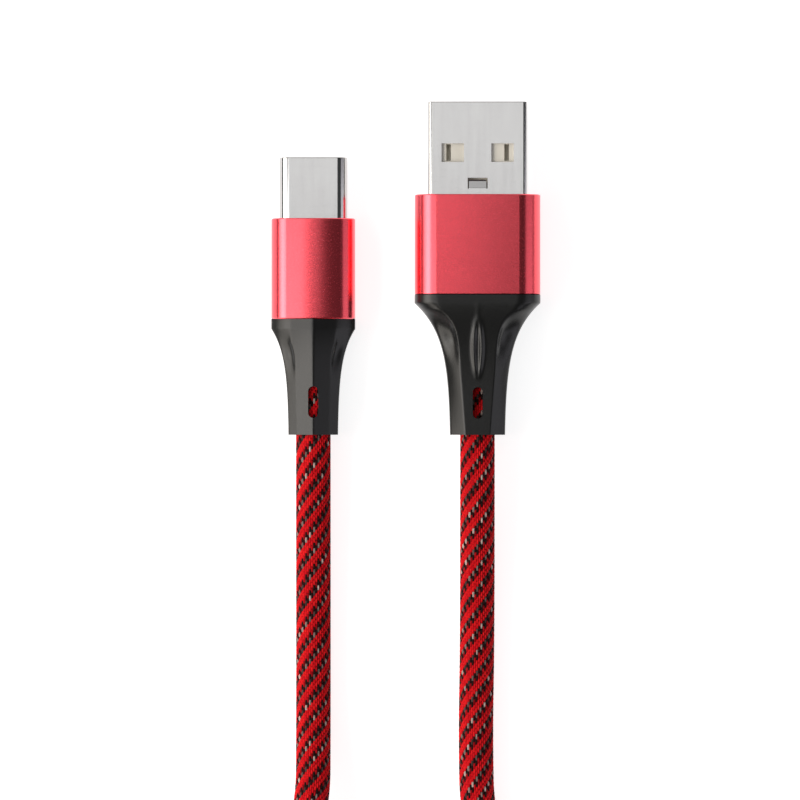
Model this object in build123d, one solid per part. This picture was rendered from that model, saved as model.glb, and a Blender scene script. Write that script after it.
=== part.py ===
from build123d import *
import math
import os

# USB-A to USB-C charging cable with a braided cord, aluminium plug housings and moulded boots.
# Millimetres. The cable lies on a surface at Z 0. +Y is the way both plugs point, and +Z is up.
# X 0, Y 0 is the middle of the box round the two plugs. Each plug is built about its own axis,
# with Y 0 at the back end of its boot, and is then set in its place.

# Driving dimensions of the cord
CORD_D = 4.2            # outside the braid
JACKET_D = 3.2          # inner jacket, where the braid is stripped back
PLUG_SPACING = 19.85    # between the two cords where they lie side by side
BORE_CLEARANCE = 0.08   # round the cord in each boot

# Driving dimensions of the USB-A plug
A_SHELL_W, A_SHELL_H, A_SHEET = 12.0, 4.5, 0.3
A_SHELL_OUT, A_SHELL_L = 11.2, 18.7
A_HOUSING_W, A_HOUSING_H, A_HOUSING_L, A_HOUSING_R = 15.2, 7.6, 12.1, 2.7
A_HOUSING_CROWN = 0.2   # how far the top and bottom bulge
A_BOOT_L, A_BOOT_END_W, A_BOOT_END_H = 16.9, 6.5, 6.2
A_BOOT_SHOULDER, A_BOOT_FLARE, A_BOOT_END_R, A_SLOT_BACK = 1.0, 3.9, 1.7, 1.95
A_HOUSING_WALL, A_HOUSING_LIP = 0.7, 0.9

# Driving dimensions of the USB-C plug
C_SHELL_W, C_SHELL_H, C_SHEET = 8.25, 2.4, 0.25
C_SHELL_OUT, C_SHELL_L = 7.4, 11.5
C_HOUSING_W, C_HOUSING_H, C_HOUSING_L, C_HOUSING_R = 10.15, 6.2, 12.15, 2.3
C_HOUSING_CROWN, C_INNER_CROWN = 0.8, 0.6   # how far the top and bottom bulge, outside and inside
C_BOOT_L, C_BOOT_END_W, C_BOOT_END_H = 14.0, 5.9, 5.7
C_BOOT_SHOULDER, C_BOOT_FLARE, C_BOOT_END_R, C_SLOT_BACK = 1.2, 3.3, 1.6, 2.05
C_BOOT_END_CROWN = 0.15
C_HOUSING_WALL, C_HOUSING_LIP = 0.6, 0.8

# Small clearances and thicknesses
FIT = 0.05              # between parts that are assembled into each other
SNUG = 0.02             # round a part that another is moulded or pressed about
CHAMFER = 0.12          # bright edge at both ends of a housing
WIRE_D = 0.75           # insulated conductor
BOOT_SLOT_L, BOOT_SLOT_W = 3.8, 1.2
STATIONS, CROWDING = 8, 1.6   # sections along a boot, closer together near its shoulder
BEYOND = 1.0            # how far a cut runs past the faces that it goes through

# Places along each plug's own axis
A_HOUSING_Y = A_BOOT_L
A_FRONT_Y = A_BOOT_L + A_HOUSING_L
A_TIP_Y = A_FRONT_Y + A_SHELL_OUT
A_SHELL_Y = A_TIP_Y - A_SHELL_L
C_HOUSING_Y = C_BOOT_L
C_FRONT_Y = C_BOOT_L + C_HOUSING_L
C_TIP_Y = C_FRONT_Y + C_SHELL_OUT
C_SHELL_Y = C_TIP_Y - C_SHELL_L

# Where each plug lies in the object's frame
BACK_Y = -A_TIP_Y / 2
A_X = (PLUG_SPACING - (A_HOUSING_W - C_HOUSING_W) / 2) / 2
C_X = A_X - PLUG_SPACING
A_PLACE = Pos(A_X, BACK_Y, A_HOUSING_H / 2)
C_PLACE = Pos(C_X, BACK_Y, C_HOUSING_H / 2)


def plane_at(y):
    """Plane across a plug's axis, facing +Y."""
    return Plane(origin=(0, y, 0), x_dir=(1, 0, 0), z_dir=(0, 1, 0))


def prism(sketch, y0, y1):
    """Solid of one section from y0 to y1 along a plug's axis."""
    return extrude(plane_at(y0) * sketch, y1 - y0)


def block(x0, x1, y0, y1, z0, z1):
    """Box between two corners."""
    return Pos((x0 + x1) / 2, (y0 + y1) / 2, (z0 + z1) / 2) * Box(x1 - x0, y1 - y0, z1 - z0)


def rod(radius, y0, y1):
    """Round bar on a plug's axis."""
    return prism(Circle(radius), y0, y1)


def oval(width, height, crown, radius):
    """Rounded rectangle whose top and bottom bulge by crown at the middle."""
    x, z = width / 2, height / 2 - crown
    if crown:
        top = ThreePointArc((-x, z), (0, z + crown), (x, z))
        bottom = ThreePointArc((x, -z), (0, -z - crown), (-x, -z))
    else:
        top, bottom = Line((-x, z), (x, z)), Line((x, -z), (-x, -z))
    face = make_face([top, Line((x, z), (x, -z)), bottom, Line((-x, -z), (-x, z))])
    return fillet(face.vertices(), radius)


def strip_along(points, thickness, x, width):
    """Bent flat spring or contact: a centreline in the YZ plane, given some thickness and width."""
    underside = Polyline(*[(y, z - thickness / 2) for y, z in points])
    face = make_face(offset(underside, thickness, side=Side.LEFT, closed=True).edges())
    return extrude(Plane(origin=(x - width / 2, 0, 0), x_dir=(0, 1, 0), z_dir=(1, 0, 0)) * face, width)


def tube_along(points, radii, diameter):
    """Round tube along straight runs joined by tangent arcs."""
    path = FilletPolyline(*points, radius=radii)
    return path, sweep(Plane(origin=path @ 0, z_dir=path % 0) * Circle(diameter / 2), path=path)


def widest_radii(points, share=0.45):
    """The largest radius that each corner of a route leaves room for."""
    radii = []
    for before, at, after in zip(points, points[1:], points[2:]):
        a, b = Vector(*at) - Vector(*before), Vector(*after) - Vector(*at)
        turn = math.radians(a.get_angle(b))
        radii.append(share * min(a.length, b.length) / math.tan(turn / 2))
    return radii


def wire(start, end, lead, tail):
    """Insulated conductor from the cable's jacket to the place where it is soldered."""
    (x0, y0, z0), (x1, y1, z1) = start, end
    points = [start, (x0, y0 + lead, z0), (x1, y1 - tail, z1), end]
    return tube_along(points, widest_radii(points), WIRE_D)[1]


# USB-A plug

A_CONTACTS = {"gnd": -3.5, "d_plus": -1.0, "d_minus": 1.0, "vbus": 3.5}
A_WINDOW_W, A_WINDOW_L, A_WINDOW_X, A_WINDOW_BACK = 2.7, 2.25, 3.0, 5.05
A_TAB_W, A_TAB_L, A_TAB_BACK, A_TAB_DROP = 2.4, 1.3, 9.2, 0.4
A_TAB_GAP = 0.15        # beside the tab
A_SHELL_R, A_MOUTH_R = 0.5, 0.12
A_SEAM = 0.06           # where the shell's two edges meet underneath
A_BLOCK_L = 4.0         # rear block of the insulator
A_TONGUE_BACK = 0.5     # how far the tongue's tip stands back in the shell
A_SLOT_W, A_SLOT_L, A_SLOT_FLOOR = 0.56, 2.0, 0.2   # slots over the two power contacts
A_TONGUE_Z = 0.05
A_CONTACT_T, A_CONTACT_W, A_CONTACT_PROUD = 0.25, 1.0, 0.15
A_NOSE_R, A_TAIL_W = 0.2, 0.8
A_CRIMP_R = 2.2
A_WIRE_ROOM_W, A_WIRE_ROOM_H = 9.6, 3.4   # hollow round the conductors
A_CORE = 0.55           # how far the conductors lie from the axis inside the jacket
A_TAIL_Y = A_SHELL_Y + 0.7
A_BLOCK_Y = A_SHELL_Y + 2.5
A_WIRE_Y = A_HOUSING_Y + 1.7


def a_shell():
    """Folded steel shell with windows, a lanced tab and a seam underneath."""
    outer = prism(RectangleRounded(A_SHELL_W, A_SHELL_H, A_SHELL_R), A_SHELL_Y, A_TIP_Y)
    outer = fillet(outer.faces().sort_by(Axis.Y)[-1].edges(), A_MOUTH_R)
    inner = RectangleRounded(A_SHELL_W - 2 * A_SHEET, A_SHELL_H - 2 * A_SHEET, A_SHELL_R - A_SHEET)
    shell = outer - prism(inner, A_SHELL_Y - BEYOND, A_TIP_Y + BEYOND)
    front = A_TIP_Y - A_WINDOW_BACK
    for x in (-A_WINDOW_X, A_WINDOW_X):
        shell -= block(x - A_WINDOW_W / 2, x + A_WINDOW_W / 2, front - A_WINDOW_L, front,
                       -A_SHELL_H, A_SHELL_H)
    tab_front = A_TIP_Y - A_TAB_BACK
    tab_back = tab_front - A_TAB_L
    top = A_SHELL_H / 2
    shell -= block(-A_TAB_W / 2, A_TAB_W / 2, tab_back, tab_front, top - 2 * A_SHEET, top + BEYOND)
    tab_line = [(tab_back - 0.2, top - A_SHEET / 2), (tab_back, top - A_SHEET / 2),
                (tab_front - 0.35, top - A_SHEET / 2 - A_TAB_DROP)]
    shell += strip_along(tab_line, A_SHEET, 0, A_TAB_W - 2 * A_TAB_GAP)
    return shell - block(-A_SEAM / 2, A_SEAM / 2, A_SHELL_Y - BEYOND, A_TIP_Y + BEYOND, -A_SHELL_H, -top / 2)


def a_insulator():
    """Moulded tongue under the top wall, with a rear block that fills the shell."""
    half_w = A_SHELL_W / 2 - A_SHEET - 2 * FIT
    top = A_SHELL_H / 2 - A_SHEET - FIT
    body = block(-half_w, half_w, A_BLOCK_Y, A_TIP_Y - A_TONGUE_BACK, A_TONGUE_Z, top)
    body += block(-half_w, half_w, A_BLOCK_Y, A_BLOCK_Y + A_BLOCK_L, -top, top)
    low = A_TONGUE_Z - A_CONTACT_PROUD - SNUG
    high = low + A_CONTACT_T + 2 * SNUG
    reach = A_CONTACT_W / 2 + SNUG
    slot_front = A_TIP_Y - A_WINDOW_BACK - 2 * FIT
    for name, x in A_CONTACTS.items():
        body -= block(x - reach, x + reach, A_BLOCK_Y - BEYOND, a_contact_tip(name) + FIT, low, high)
    for x in (A_CONTACTS["gnd"], A_CONTACTS["vbus"]):
        body -= block(x - A_SLOT_W / 2, x + A_SLOT_W / 2, slot_front - A_SLOT_L, slot_front,
                      high + A_SLOT_FLOOR, top + BEYOND)
    tab_front = A_TIP_Y - A_TAB_BACK
    half_tab = A_TAB_W / 2 + A_TAB_GAP
    return body - block(-half_tab, half_tab, tab_front - A_TAB_L - 0.4, tab_front + A_TAB_GAP,
                        top - A_TAB_DROP - A_SHEET, top + BEYOND)


def a_contact_tip(name):
    """The power contacts reach further forward than the data contacts."""
    return A_TIP_Y - (1.5 if name in ("gnd", "vbus") else 2.5)


def a_contact(name):
    """Stamped strip with a rounded nose and a narrower solder tail."""
    x, tip = A_CONTACTS[name], a_contact_tip(name)
    low = A_TONGUE_Z - A_CONTACT_PROUD
    high = low + A_CONTACT_T
    blade = block(x - A_CONTACT_W / 2, x + A_CONTACT_W / 2, A_BLOCK_Y + 0.5, tip, low, high)
    nose = blade.faces().sort_by(Axis.Y)[-1].edges().sort_by(Axis.Z)[0]
    tail = block(x - A_TAIL_W / 2, x + A_TAIL_W / 2, A_TAIL_Y, A_BLOCK_Y + BEYOND, low, high)
    return fillet(nose, A_NOSE_R) + tail


def a_wires():
    """Four conductors that fan out from the jacket to the contact tails."""
    z_end = A_TONGUE_Z - A_CONTACT_PROUD + A_CONTACT_T + WIRE_D / 2 + SNUG
    starts = {"gnd": (-A_CORE, A_CORE), "d_plus": (-A_CORE, -A_CORE),
              "d_minus": (A_CORE, -A_CORE), "vbus": (A_CORE, A_CORE)}
    colours = {"gnd": "black", "d_plus": "green", "d_minus": "white", "vbus": "red"}
    return {
        "usb_a_wire_" + colours[name]: wire(
            (x, A_WIRE_Y, z), (A_CONTACTS[name], A_TAIL_Y + 1.5, z_end), 0.8, 1.7)
        for name, (x, z) in starts.items()
    }


def a_inner_mould():
    """Inner moulding that fills the housing round the shell, the wires and the crimp."""
    width, height = A_HOUSING_W - 2 * A_HOUSING_WALL - 2 * FIT, A_HOUSING_H - 2 * A_HOUSING_WALL - 2 * FIT
    back, front = A_HOUSING_Y + 0.1, A_FRONT_Y - A_HOUSING_LIP - FIT
    body = prism(RectangleRounded(width, height, A_HOUSING_R - A_HOUSING_WALL), back, front)
    body -= prism(RectangleRounded(A_SHELL_W + 2 * SNUG, A_SHELL_H + 2 * SNUG, A_SHELL_R + SNUG),
                  A_SHELL_Y - FIT, front + BEYOND)
    body -= block(-A_WIRE_ROOM_W / 2, A_WIRE_ROOM_W / 2, A_WIRE_Y + 0.1, A_SHELL_Y,
                  -A_WIRE_ROOM_H / 2, A_WIRE_ROOM_H / 2)
    return body - rod(A_CRIMP_R + 2 * FIT, back - BEYOND, A_WIRE_Y + 0.2)


def a_housing():
    """Aluminium sleeve with bright chamfered ends and a lip round the shell."""
    outer = prism(oval(A_HOUSING_W, A_HOUSING_H, A_HOUSING_CROWN, A_HOUSING_R), A_HOUSING_Y, A_FRONT_Y)
    ends = outer.faces().sort_by(Axis.Y)
    outer = chamfer(ends[0].edges() + ends[-1].edges(), CHAMFER)
    width, height = A_HOUSING_W - 2 * A_HOUSING_WALL, A_HOUSING_H - 2 * A_HOUSING_WALL
    cavity = prism(RectangleRounded(width, height, A_HOUSING_R - A_HOUSING_WALL), A_HOUSING_Y - BEYOND,
                   A_FRONT_Y - A_HOUSING_LIP)
    mouth = prism(RectangleRounded(A_SHELL_W + 2 * FIT, A_SHELL_H + 2 * FIT, A_SHELL_R + FIT),
                  A_HOUSING_Y, A_FRONT_Y + BEYOND)
    return outer - cavity - mouth


def jacket_end(y0, y1):
    """Inner jacket of the cable where the braid has been stripped back."""
    return rod(JACKET_D / 2, y0, y1)


def crimp_ring(y0, y1, radius):
    """Steel ring pressed round the jacket."""
    return rod(radius, y0, y1) - rod(JACKET_D / 2 + SNUG, y0 - BEYOND, y1 + BEYOND)


def boot(length, shoulder, flare, start, end, slot_back):
    """Strain relief: a short full-size shoulder, then a flare that dies away towards the cord.

    start and end are (width, height, crown, corner radius) at the two ends.
    """
    def section(y):
        share = math.exp(-max(length - shoulder - y, 0) / flare)
        return oval(*[b + (a - b) * share for a, b in zip(start, end)])

    span = length - shoulder
    ys = [span * (1 - (k / (STATIONS - 1)) ** CROWDING) for k in range(STATIONS)]
    body = loft([plane_at(y) * section(y) for y in ys])
    body += prism(oval(*start), span, length)
    body -= rod(CORD_D / 2 + BORE_CLEARANCE, -BEYOND, length + BEYOND)
    window = Pos(0, slot_back + BOOT_SLOT_L / 2, 0) * Rot(0, 0, 90) * SlotOverall(BOOT_SLOT_L, BOOT_SLOT_W)
    return body - extrude(window, start[1], both=True)


# USB-C plug

UPPER_PINS = (1, 4, 5, 6, 7, 9, 12)
LOWER_PINS = (1, 4, 8, 9, 12)
PIN_PITCH = 0.5
BEAM_W, BEAM_T = 0.25, 0.12
C_MOUTH_DEPTH = 2.25                     # how far back the insulator stands in the shell
C_INSULATOR_Y = C_SHELL_Y + 0.35
C_INSULATOR_FRONT = C_TIP_Y - C_MOUTH_DEPTH
C_ROOT_Y = C_TIP_Y - 7.9                 # root of the sprung contacts and latches
BEAM_ROOT_Z, BEAM_TOUCH_Z = 0.50, 0.34
LATCH_X, LATCH_T, LATCH_H = 3.32, 0.2, 0.7
EMI_Z, EMI_T = 0.83, 0.1
EMI_ROOT_Y = C_TIP_Y - 2.05
BOARD_Y0, BOARD_Y1, BOARD_W, BOARD_T = C_HOUSING_Y + 4.0, C_SHELL_Y - 0.15, 7.4, 0.6
C_WIRE_Y = C_HOUSING_Y + 1.2
C_CRIMP_R = 2.05
C_CORE = 0.78                            # how far the conductors lie from the axis inside the jacket
C_BOARD_ROOM_W, C_BOARD_ROOM_H = 7.7, 2.8   # hollow round the board
C_MOUTH_R = 0.12
TONGUE_W, TONGUE_T = 6.5, 0.84           # slot for the mating tongue
CHANNEL_LOW, CHANNEL_HIGH = 0.3, 0.8     # room over each sprung contact
LATCH_NEAR, LATCH_FAR = 3.0, 4.2         # room beside the tongue's slot for the latches
HOOK = 0.2
PLATE_W, PLATE_T = 6.84, 0.2
EMI_STRIP_W, EMI_FINGER_W, EMI_FINGERS = 5.2, 0.8, (-2.0, -0.67, 0.67, 2.0)
RESISTOR_W, RESISTOR_L, RESISTOR_T = 1.0, 0.5, 0.35


def pin_x(pin):
    """Place of a contact across the plug, counted from 1 to 12."""
    return (pin - 6.5) * PIN_PITCH


def upside_down(part):
    """The same part on the plug's lower side."""
    return Rot(0, 180, 0) * part


def c_shell():
    """Deep-drawn steel shell with full-round sides."""
    outer = prism(SlotOverall(C_SHELL_W, C_SHELL_H), C_SHELL_Y, C_TIP_Y)
    outer = fillet(outer.faces().sort_by(Axis.Y)[-1].edges(), C_MOUTH_R)
    hollow = SlotOverall(C_SHELL_W - 2 * C_SHEET, C_SHELL_H - 2 * C_SHEET)
    return outer - prism(hollow, C_SHELL_Y - BEYOND, C_TIP_Y + BEYOND)


def c_insulator():
    """Contact carrier with a slot for the mating tongue and a channel for each spring."""
    width, height = C_SHELL_W - 2 * C_SHEET - 2 * SNUG, C_SHELL_H - 2 * C_SHEET - 2 * SNUG
    body = prism(SlotOverall(width, height), C_INSULATOR_Y, C_INSULATOR_FRONT)
    beyond = C_INSULATOR_FRONT + BEYOND
    body -= block(-TONGUE_W / 2, TONGUE_W / 2, C_ROOT_Y, beyond, -TONGUE_T / 2, TONGUE_T / 2)
    reach = BEAM_W / 2 + FIT
    tunnel_low, tunnel_high = BEAM_ROOT_Z - BEAM_T / 2 - SNUG, BEAM_ROOT_Z + BEAM_T / 2 + SNUG
    for pins, turn in ((UPPER_PINS, lambda cut: cut), (LOWER_PINS, upside_down)):
        for pin in pins:
            x = pin_x(pin)
            channel = block(x - reach, x + reach, C_ROOT_Y, beyond, CHANNEL_LOW, CHANNEL_HIGH)
            tunnel = block(x - reach, x + reach, C_INSULATOR_Y - BEYOND, C_ROOT_Y + 0.1,
                           tunnel_low, tunnel_high)
            body -= turn(channel + tunnel)
    latch_low = C_ROOT_Y - 0.7
    for side in (-1, 1):
        near, far = sorted((side * LATCH_NEAR, side * LATCH_FAR))
        body -= block(near, far, latch_low, beyond, -LATCH_H / 2 - FIT, LATCH_H / 2 + FIT)
    half_w, half_t = PLATE_W / 2 + SNUG, PLATE_T / 2 + SNUG
    return body - block(-half_w, half_w, C_INSULATOR_Y - BEYOND, C_ROOT_Y - 0.4, -half_t, half_t)


def c_contact_beams(pins):
    """The sprung half of one row of contacts."""
    line = [(C_ROOT_Y + 0.05, BEAM_ROOT_Z), (C_ROOT_Y + 4.5, BEAM_TOUCH_Z), (C_ROOT_Y + 5.2, BEAM_ROOT_Z)]
    return [strip_along(line, BEAM_T, pin_x(pin), BEAM_W) for pin in pins]


def c_contact_tails(pins):
    """The fixed half of one row of contacts, down to the board."""
    on_board = BOARD_T / 2 + BEAM_T / 2 + 0.01
    line = [(BOARD_Y1 - 1.1, on_board), (BOARD_Y1 + 0.05, on_board), (C_INSULATOR_Y - 0.1, BEAM_ROOT_Z),
            (C_ROOT_Y - 0.05, BEAM_ROOT_Z)]
    return [strip_along(line, BEAM_T, pin_x(pin), BEAM_W) for pin in pins]


def c_latch(side):
    """Side spring with a hook that snaps behind the edge of the mating tongue."""
    half = LATCH_T / 2
    arm = block(LATCH_X - half, LATCH_X + half, C_ROOT_Y - 0.3, C_ROOT_Y + 5.0, -LATCH_H / 2, LATCH_H / 2)
    inner = LATCH_X - half
    hook_line = Polyline((inner, C_ROOT_Y + 4.2), (inner - HOOK, C_ROOT_Y + 4.6),
                         (inner - HOOK, C_ROOT_Y + 4.75), (inner, C_ROOT_Y + 5.0), close=True)
    hook = extrude(Pos(0, 0, -LATCH_H / 2) * make_face(hook_line), LATCH_H)
    latch = arm + hook
    return latch if side > 0 else mirror(latch, about=Plane.YZ)


def c_mid_plate():
    """Grounded plate between the two rows, from the board to the roots of the latches."""
    return block(-PLATE_W / 2, PLATE_W / 2, C_INSULATOR_Y - 0.2, C_ROOT_Y - 0.45, -PLATE_T / 2, PLATE_T / 2)


def c_emi_spring():
    """Grounding spring inside the mouth: a strip with four fingers that bow inwards."""
    strip = block(-EMI_STRIP_W / 2, EMI_STRIP_W / 2, EMI_ROOT_Y - 0.1, EMI_ROOT_Y + 0.35,
                  EMI_Z - EMI_T / 2, EMI_Z + EMI_T / 2)
    line = [(EMI_ROOT_Y + 0.2, EMI_Z), (EMI_ROOT_Y + 1.1, EMI_Z - 0.17), (EMI_ROOT_Y + 1.6, EMI_Z - 0.03)]
    for x in EMI_FINGERS:
        strip += strip_along(line, EMI_T, x, EMI_FINGER_W)
    return strip


def c_board():
    """Circuit board between the wires and the contact tails."""
    return block(-BOARD_W / 2, BOARD_W / 2, BOARD_Y0, BOARD_Y1, -BOARD_T / 2, BOARD_T / 2)


def c_resistor():
    """Pull-up resistor on the underside of the board."""
    top = -BOARD_T / 2 - 0.01
    y = BOARD_Y0 + 1.2
    return block(RESISTOR_W, 2 * RESISTOR_W, y, y + RESISTOR_L, top - RESISTOR_T, top)


def c_wires():
    """Four conductors that lie side by side on the board."""
    z_end = BOARD_T / 2 + WIRE_D / 2 + 0.06
    ends = {"black": (-2.4, -C_CORE, 0), "green": (-0.8, 0, -C_CORE),
            "white": (0.8, 0, C_CORE), "red": (2.4, C_CORE, 0)}
    return {
        "usb_c_wire_" + colour: wire((x0, C_WIRE_Y, z0), (x1, BOARD_Y0 + 1.4, z_end), 0.6, 2.0)
        for colour, (x1, x0, z0) in ends.items()
    }


def c_inner_mould():
    """Inner moulding that fills the housing round the shell, the board and the crimp."""
    width, height = C_HOUSING_W - 2 * C_HOUSING_WALL - 2 * FIT, C_HOUSING_H - 2 * C_HOUSING_WALL - 2 * FIT
    back, front = C_HOUSING_Y + 0.1, C_FRONT_Y - C_HOUSING_LIP - FIT
    body = prism(oval(width, height, C_INNER_CROWN, C_HOUSING_R - C_HOUSING_WALL), back, front)
    body -= prism(SlotOverall(C_SHELL_W + 2 * SNUG, C_SHELL_H + 2 * SNUG), C_SHELL_Y - FIT, front + BEYOND)
    body -= block(-C_BOARD_ROOM_W / 2, C_BOARD_ROOM_W / 2, C_WIRE_Y + 0.1, C_SHELL_Y,
                  -C_BOARD_ROOM_H / 2, C_BOARD_ROOM_H / 2)
    return body - rod(C_CRIMP_R + 2 * FIT, back - BEYOND, C_WIRE_Y + 0.2)


def c_housing():
    """Aluminium sleeve of an oval section with bright chamfered ends and a lip round the shell."""
    outer = prism(oval(C_HOUSING_W, C_HOUSING_H, C_HOUSING_CROWN, C_HOUSING_R), C_HOUSING_Y, C_FRONT_Y)
    ends = outer.faces().sort_by(Axis.Y)
    outer = chamfer(ends[0].edges() + ends[-1].edges(), CHAMFER)
    width, height = C_HOUSING_W - 2 * C_HOUSING_WALL, C_HOUSING_H - 2 * C_HOUSING_WALL
    cavity = prism(oval(width, height, C_INNER_CROWN, C_HOUSING_R - C_HOUSING_WALL), C_HOUSING_Y - BEYOND,
                   C_FRONT_Y - C_HOUSING_LIP)
    mouth = prism(SlotOverall(C_SHELL_W + 2 * FIT, C_SHELL_H + 2 * FIT), C_HOUSING_Y, C_FRONT_Y + BEYOND)
    return outer - cavity - mouth


# Cord: two straight ends, and a hank of four turns, two side by side and two high, held by a strap

FOLD_INNER_R = 3 * CORD_D               # centre of the inner turn at a fold
FOLD_OUTER_R = 4 * CORD_D
HANK_RUN = 59.4                         # straight part of each turn
HANK_FOLD_Y = -88.0                     # centres of the folds nearer the plugs
HANK_X = (A_X + C_X) / 2
HANK_TOP = 9.2
HANK_ROUND = 1.6                        # rounding of the hank's outer shape
CROSSING_TOP = 11.8                     # where three turns cross at the folds nearer the plugs
CROSSING_START = 4.0                    # past the centres of those folds
STRAP_W, STRAP_T, STRAP_INNER_R = 10.0, 0.8, 1.8
LOW_Z, HIGH_Z = CORD_D / 2, 1.5 * CORD_D  # centres of the lower and upper turns
A_CORD_START = A_BOOT_L - 1.4           # how far up the boots the braid reaches
C_CORD_START = C_BOOT_L - 1.4

A_ROUTE = [
    (A_X, BACK_Y + A_CORD_START, A_HOUSING_H / 2),
    (A_X, -25.0, A_HOUSING_H / 2),
    (A_X, -45.5, LOW_Z),
    (A_X - 0.2, -56.0, LOW_Z),
    (A_X, -67.5, LOW_Z),
    (A_X + 4.9, -78.0, LOW_Z),
]
C_ROUTE = [
    (C_X, BACK_Y + C_CORD_START, C_HOUSING_H / 2),
    (C_X, -25.0, C_HOUSING_H / 2),
    (C_X, -42.5, LOW_Z),
    (C_X, -54.5, LOW_Z + 0.2),
    (C_X, -66.5, HIGH_Z - 1.1),
    (C_X - 4.9, -77.5, HIGH_Z),
]


def cord_run(name, route):
    """One end of the braided cord, from inside its boot to the hank."""
    radii = widest_radii(route)
    path, tube = tube_along(route, radii, CORD_D)
    ratio = tube.volume / (math.pi * (CORD_D / 2) ** 2 * path.length)
    rounded = [round(radius, 1) for radius in radii]
    print(name, "length", round(path.length, 2), "radii", rounded, "volume", round(ratio, 4))
    return tube


def strap_section(grow):
    """Outline of the strap's inside, or with grow of its outside, looking along the hank."""
    half_w = FOLD_OUTER_R + CORD_D / 2 - STRAP_T + grow
    low, high = STRAP_T - grow, HANK_TOP + grow
    return Pos(HANK_X, -(low + high) / 2) * RectangleRounded(2 * half_w, high - low, STRAP_INNER_R + grow)


def hank_and_strap():
    """Outer shape of the folded cord, waisted where the strap goes round it, and the strap."""
    middle = HANK_FOLD_Y - HANK_RUN / 2
    outer_h, inner_h = 2 * FOLD_OUTER_R + CORD_D, 2 * FOLD_INNER_R - CORD_D
    outline = SlotOverall(HANK_RUN + outer_h, outer_h) - SlotOverall(HANK_RUN + inner_h, inner_h)
    outline = Pos(HANK_X, middle, 0) * Rot(0, 0, 90) * outline
    ring = extrude(outline, HANK_TOP)
    rims = ring.faces().sort_by(Axis.Z)
    ring = fillet(rims[0].edges() + rims[-1].edges(), HANK_ROUND)
    far_half = Pos(HANK_X, HANK_FOLD_Y + CROSSING_START + outer_h / 2) * Rectangle(outer_h, outer_h) & outline
    crossing = extrude(Pos(0, 0, HANK_ROUND) * far_half, CROSSING_TOP - HANK_ROUND)
    ring += fillet(crossing.faces().sort_by(Axis.Z)[-1].edges(), HANK_ROUND)
    y0, y1 = middle - STRAP_W / 2, middle + STRAP_W / 2
    inside = prism(strap_section(0), y0, y1)
    waist = block(HANK_X - outer_h, HANK_X + outer_h, y0, y1, -HANK_TOP, 2 * HANK_TOP) - inside
    strap = prism(strap_section(STRAP_T), y0, y1) - prism(strap_section(0), y0 - BEYOND, y1 + BEYOND)
    return ring - waist, strap


def usb_a_parts():
    """Every piece of the USB-A plug, about the plug's own axis."""
    parts = {
        "usb_a_shell": a_shell(),
        "usb_a_insulator": a_insulator(),
        "usb_a_jacket_end": jacket_end(A_CORD_START, A_WIRE_Y),
        "usb_a_crimp": crimp_ring(A_HOUSING_Y + 0.2, A_WIRE_Y - 0.1, A_CRIMP_R),
        "usb_a_inner_mould": a_inner_mould(),
        "usb_a_housing": a_housing(),
        "usb_a_boot": boot(A_BOOT_L, A_BOOT_SHOULDER, A_BOOT_FLARE,
                           (A_HOUSING_W, A_HOUSING_H, A_HOUSING_CROWN, A_HOUSING_R),
                           (A_BOOT_END_W, A_BOOT_END_H, 0, A_BOOT_END_R), A_SLOT_BACK),
    }
    parts |= {"usb_a_contact_" + name: a_contact(name) for name in A_CONTACTS}
    return parts | a_wires()


def usb_c_parts():
    """Every piece of the USB-C plug, about the plug's own axis."""
    parts = {
        "usb_c_shell": c_shell(),
        "usb_c_insulator": c_insulator(),
        "usb_c_upper_contact_beams": c_contact_beams(UPPER_PINS),
        "usb_c_upper_contact_tails": c_contact_tails(UPPER_PINS),
        "usb_c_lower_contact_beams": [upside_down(beam) for beam in c_contact_beams(LOWER_PINS)],
        "usb_c_lower_contact_tails": [upside_down(tail) for tail in c_contact_tails(LOWER_PINS)],
        "usb_c_latch_left": c_latch(-1),
        "usb_c_latch_right": c_latch(1),
        "usb_c_mid_plate": c_mid_plate(),
        "usb_c_emi_spring_top": c_emi_spring(),
        "usb_c_emi_spring_bottom": upside_down(c_emi_spring()),
        "usb_c_paddle_board": c_board(),
        "usb_c_pull_up_resistor": c_resistor(),
        "usb_c_jacket_end": jacket_end(C_CORD_START, C_WIRE_Y),
        "usb_c_crimp": crimp_ring(C_HOUSING_Y + 0.2, C_WIRE_Y - 0.1, C_CRIMP_R),
        "usb_c_inner_mould": c_inner_mould(),
        "usb_c_housing": c_housing(),
        "usb_c_boot": boot(C_BOOT_L, C_BOOT_SHOULDER, C_BOOT_FLARE,
                           (C_HOUSING_W, C_HOUSING_H, C_HOUSING_CROWN, C_HOUSING_R),
                           (C_BOOT_END_W, C_BOOT_END_H, C_BOOT_END_CROWN, C_BOOT_END_R), C_SLOT_BACK),
    }
    return parts | c_wires()


def cable_parts():
    """The braided cord and what holds its hank."""
    hank, strap = hank_and_strap()
    return {
        "cord_a_run": cord_run("cord_a_run", A_ROUTE),
        "cord_c_run": cord_run("cord_c_run", C_ROUTE),
        "cord_hank": hank,
        "hank_tie": strap,
    }


def write(name, part):
    """Write one named piece, which may be a group of separate solids."""
    shape = Compound(children=[Part(piece.wrapped) for piece in part]) if isinstance(part, list) else part
    export_step(shape, "parts/" + name + ".step")


def placed(part, place):
    """A piece, or each solid of a group, set in its place in the object."""
    return [place * piece for piece in part] if isinstance(part, list) else place * part


os.makedirs("parts", exist_ok=True)
for parts, place in ((usb_a_parts(), A_PLACE), (usb_c_parts(), C_PLACE), (cable_parts(), Pos(0, 0, 0))):
    for name, part in parts.items():
        write(name, placed(part, place))
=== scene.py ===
import math

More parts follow.
